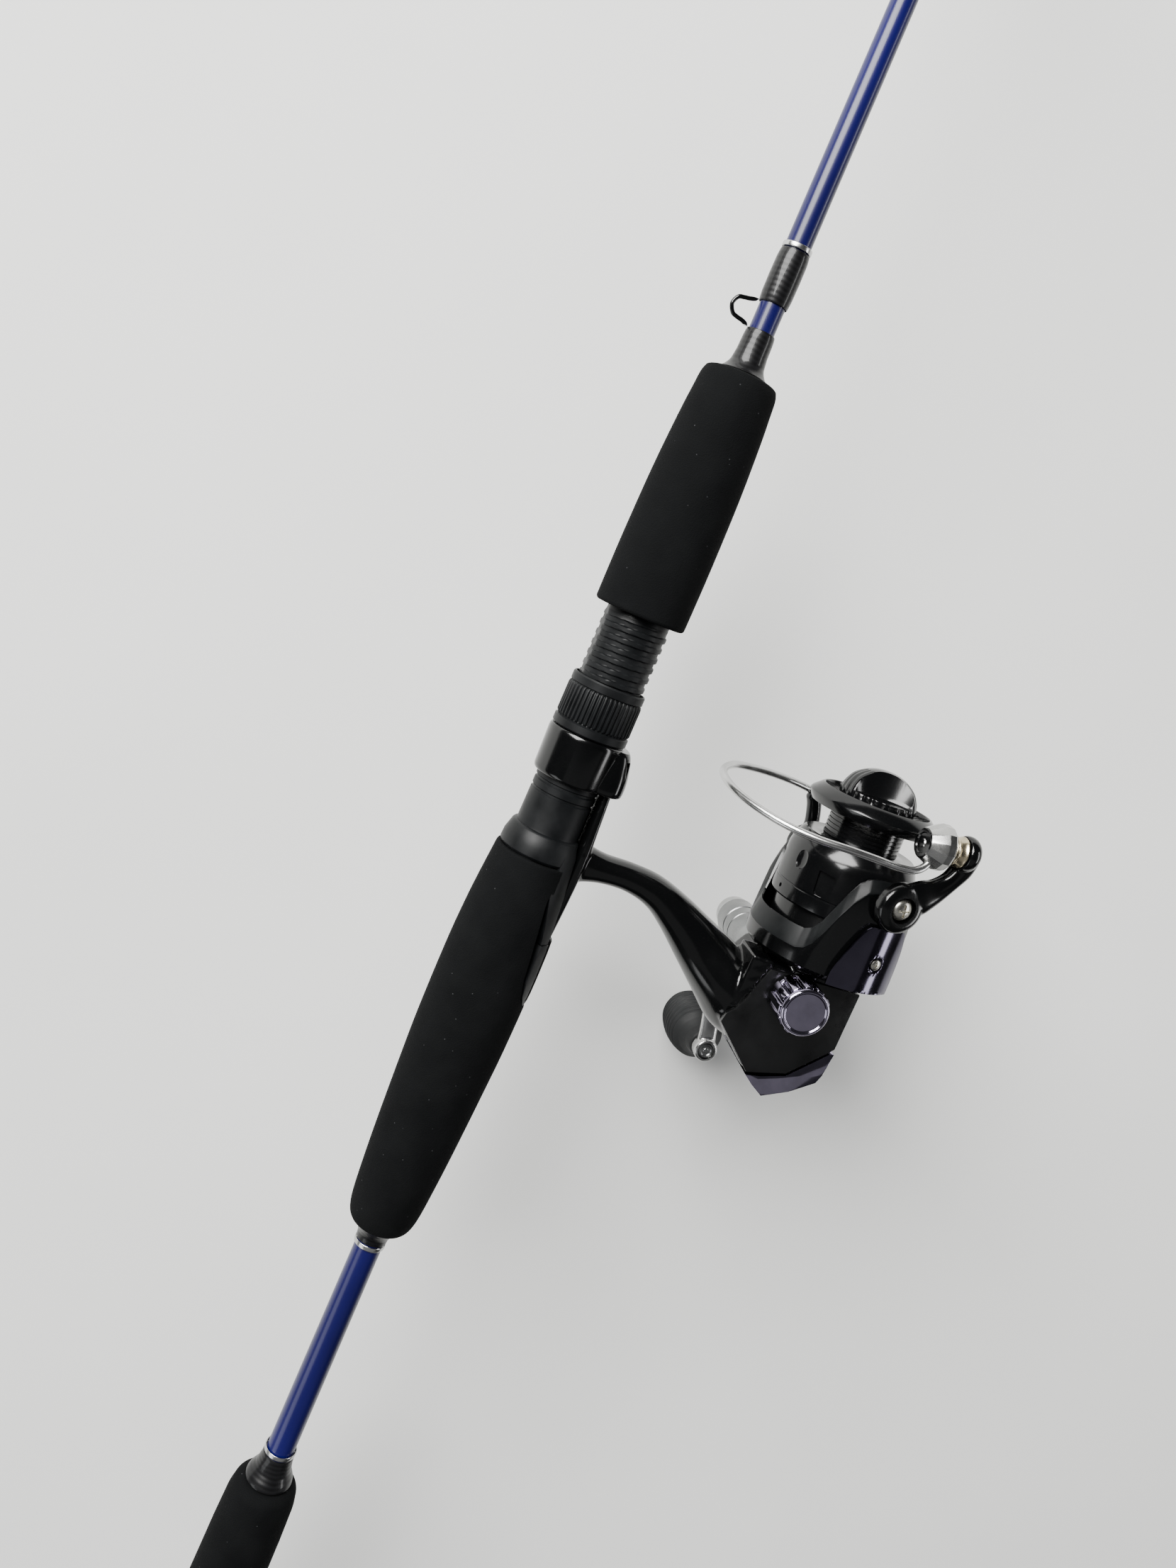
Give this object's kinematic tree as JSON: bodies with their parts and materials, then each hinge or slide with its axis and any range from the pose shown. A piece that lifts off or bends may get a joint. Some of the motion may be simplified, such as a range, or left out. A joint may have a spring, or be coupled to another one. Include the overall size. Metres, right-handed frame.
{
  "type": "spinning rod and reel",
  "caption": "Light two-piece spinning rod with foam grips and ring guides, carrying a small fixed-spool reel with a side crank and a flip-over bail.",
  "frame": {"origin": "centre of the butt cap's flat end face, on the rod's axis", "axes": "+X along the rod from the butt to the tip, -Y towards the hanging reel, -Z towards the crank"},
  "size_m": [1.3706, 0.1194, 0.1119],
  "materials": {
    "eva_foam": "matte closed-cell foam with fine cell specks",
    "butt_rubber": "matte moulded rubber",
    "epoxy_wrap": "black thread under clear gloss epoxy",
    "trim_metal": "bright thin ring",
    "blank_blue": "deep blue lacquer with clear gloss coat",
    "seat_satin": "satin black moulded plastic",
    "hood_gloss": "gloss black moulded plastic",
    "guide_steel": "satin stainless wire",
    "guide_insert": "polished dark ceramic",
    "reel_gloss": "gloss black",
    "spool_gloss": "high gloss black",
    "plate_satin": "semi matte black",
    "dark_chrome": "smoked chrome with a purple tint",
    "gear_brass": "machined brass",
    "polished_steel": "polished stainless",
    "satin_steel": "turned satin metal",
    "knob_rubber": "ribbed soft-touch rubber"
  },
  "bodies": {
    "rod_handle": {"butt_cap": "butt_rubber", "butt_grip": "eva_foam", "butt_grip_check": "epoxy_wrap", "butt_trim_ring": "trim_metal", "blank_butt_section": "blank_blue", "rear_trim_ring": "trim_metal", "rear_grip_check": "epoxy_wrap", "rear_grip": "eva_foam", "seat_arbor": "seat_satin", "reel_seat_body": "seat_satin", "fixed_hood": "seat_satin", "foregrip": "eva_foam", "foregrip_wrap": "epoxy_wrap", "keeper_wrap": "epoxy_wrap", "front_trim_ring": "trim_metal", "hook_keeper": "guide_steel", "guide_stripper_frame": "guide_steel", "guide_stripper_ring": "guide_insert", "guide_stripper_wrap": "epoxy_wrap", "reel_body": "reel_gloss", "side_plate": "plate_satin", "rear_cap": "dark_chrome", "pinion_bearing": "satin_steel"},
    "rod_tip": {"ferrule_wrap": "epoxy_wrap", "blank_tip_section": "blank_blue", "guide_second_frame": "guide_steel", "guide_second_ring": "guide_insert", "guide_second_wrap": "epoxy_wrap", "guide_third_frame": "guide_steel", "guide_third_ring": "guide_insert", "guide_third_wrap": "epoxy_wrap", "guide_fourth_frame": "guide_steel", "guide_fourth_ring": "guide_insert", "guide_fourth_wrap": "epoxy_wrap", "tip_top": "guide_steel"},
    "sliding_hood": {"sliding_hood": "hood_gloss"},
    "lock_nut": {"lock_nut": "seat_satin"},
    "crank": {"drive_gear": "gear_brass", "handle_hub": "satin_steel", "handle_arm": "polished_steel", "knob_axle": "satin_steel", "handle_screw_cap": "dark_chrome"},
    "crank_knob": {"handle_knob": "knob_rubber"},
    "rotor": {"rotor": "reel_gloss", "pinion_gear": "gear_brass", "rotor_nut": "gear_brass", "rotor_arm_cover": "dark_chrome", "arm_cover_screw": "satin_steel", "far_arm_cover": "dark_chrome"},
    "bail": {"bail_arm": "reel_gloss", "bail_arm_screw": "satin_steel", "bail_lever_far": "reel_gloss", "bail_wire": "polished_steel", "bail_cone": "polished_steel"},
    "line_roller": {"line_roller": "gear_brass"},
    "oscillation_gear": {"oscillation_gear": "gear_brass"},
    "spool_shaft": {"main_shaft": "polished_steel", "oscillation_slider": "satin_steel"},
    "spool": {"spool": "spool_gloss"},
    "drag_knob": {"drag_knob": "spool_gloss"}
  },
  "joints": [
    {"name": "tip_section_pull", "type": "slide", "parent": "rod_handle", "child": "rod_tip", "axis": [1, 0, 0], "range_m": [0, 0.075]},
    {"name": "hood_travel", "type": "slide", "parent": "rod_handle", "child": "sliding_hood", "axis": [1, 0, 0], "range_m": [0, 0.0181]},
    {"name": "lock_nut_turn", "type": "hinge", "parent": "sliding_hood", "child": "lock_nut", "pos_m": [0.342, 0, 0], "axis": [1, 0, 0], "range_deg": [0, 2310]},
    {"name": "handle_crank", "type": "hinge", "parent": "rod_handle", "child": "crank", "pos_m": [0.29054, -0.07801, 0], "axis": [0, 0, 1], "continuous": true},
    {"name": "crank_knob_spin", "type": "hinge", "parent": "crank", "child": "crank_knob", "pos_m": [0.24475, -0.08795, -0.065], "axis": [0, 0, 1], "continuous": true},
    {"name": "rotor_spin", "type": "hinge", "parent": "rod_handle", "child": "rotor", "pos_m": [0.31096, -0.08461, 0], "axis": [0.9982, 0.0593, 0], "continuous": true},
    {"name": "oscillation_gear_spin", "type": "hinge", "parent": "rod_handle", "child": "oscillation_gear", "pos_m": [0.28143, -0.08487, 0.006], "axis": [0, 0, 1], "continuous": true},
    {"name": "spool_oscillation", "type": "slide", "parent": "rod_handle", "child": "spool_shaft", "axis": [0.9982, 0.0593, 0], "range_m": [0, 0.009]},
    {"name": "spool_drag_spin", "type": "hinge", "parent": "spool_shaft", "child": "spool", "pos_m": [0.33592, -0.08313, 0], "axis": [0.9982, 0.0593, 0], "continuous": true},
    {"name": "drag_knob_turn", "type": "hinge", "parent": "spool_shaft", "child": "drag_knob", "pos_m": [0.35089, -0.08224, 0], "axis": [0.9982, 0.0593, 0], "range_deg": [-360, 360]},
    {"name": "bail_flip", "type": "hinge", "parent": "rotor", "child": "bail", "pos_m": [0.32524, -0.08377, 0], "axis": [-0.0143, 0.2415, -0.9703], "range_deg": [0, 100]},
    {"name": "line_roller_spin", "type": "hinge", "parent": "bail", "child": "line_roller", "pos_m": [0.34534, -0.10171, 0.0226], "axis": [-0.099, 0.9918, 0.081], "continuous": true}
  ],
  "couplings": [
    {"joint": "hood_travel", "follows": "lock_nut_turn", "m_per_rad": 0.00044563},
    {"joint": "rotor_spin", "follows": "handle_crank", "ratio": 5.2},
    {"joint": "oscillation_gear_spin", "follows": "handle_crank", "ratio": -0.54167}
  ]
}
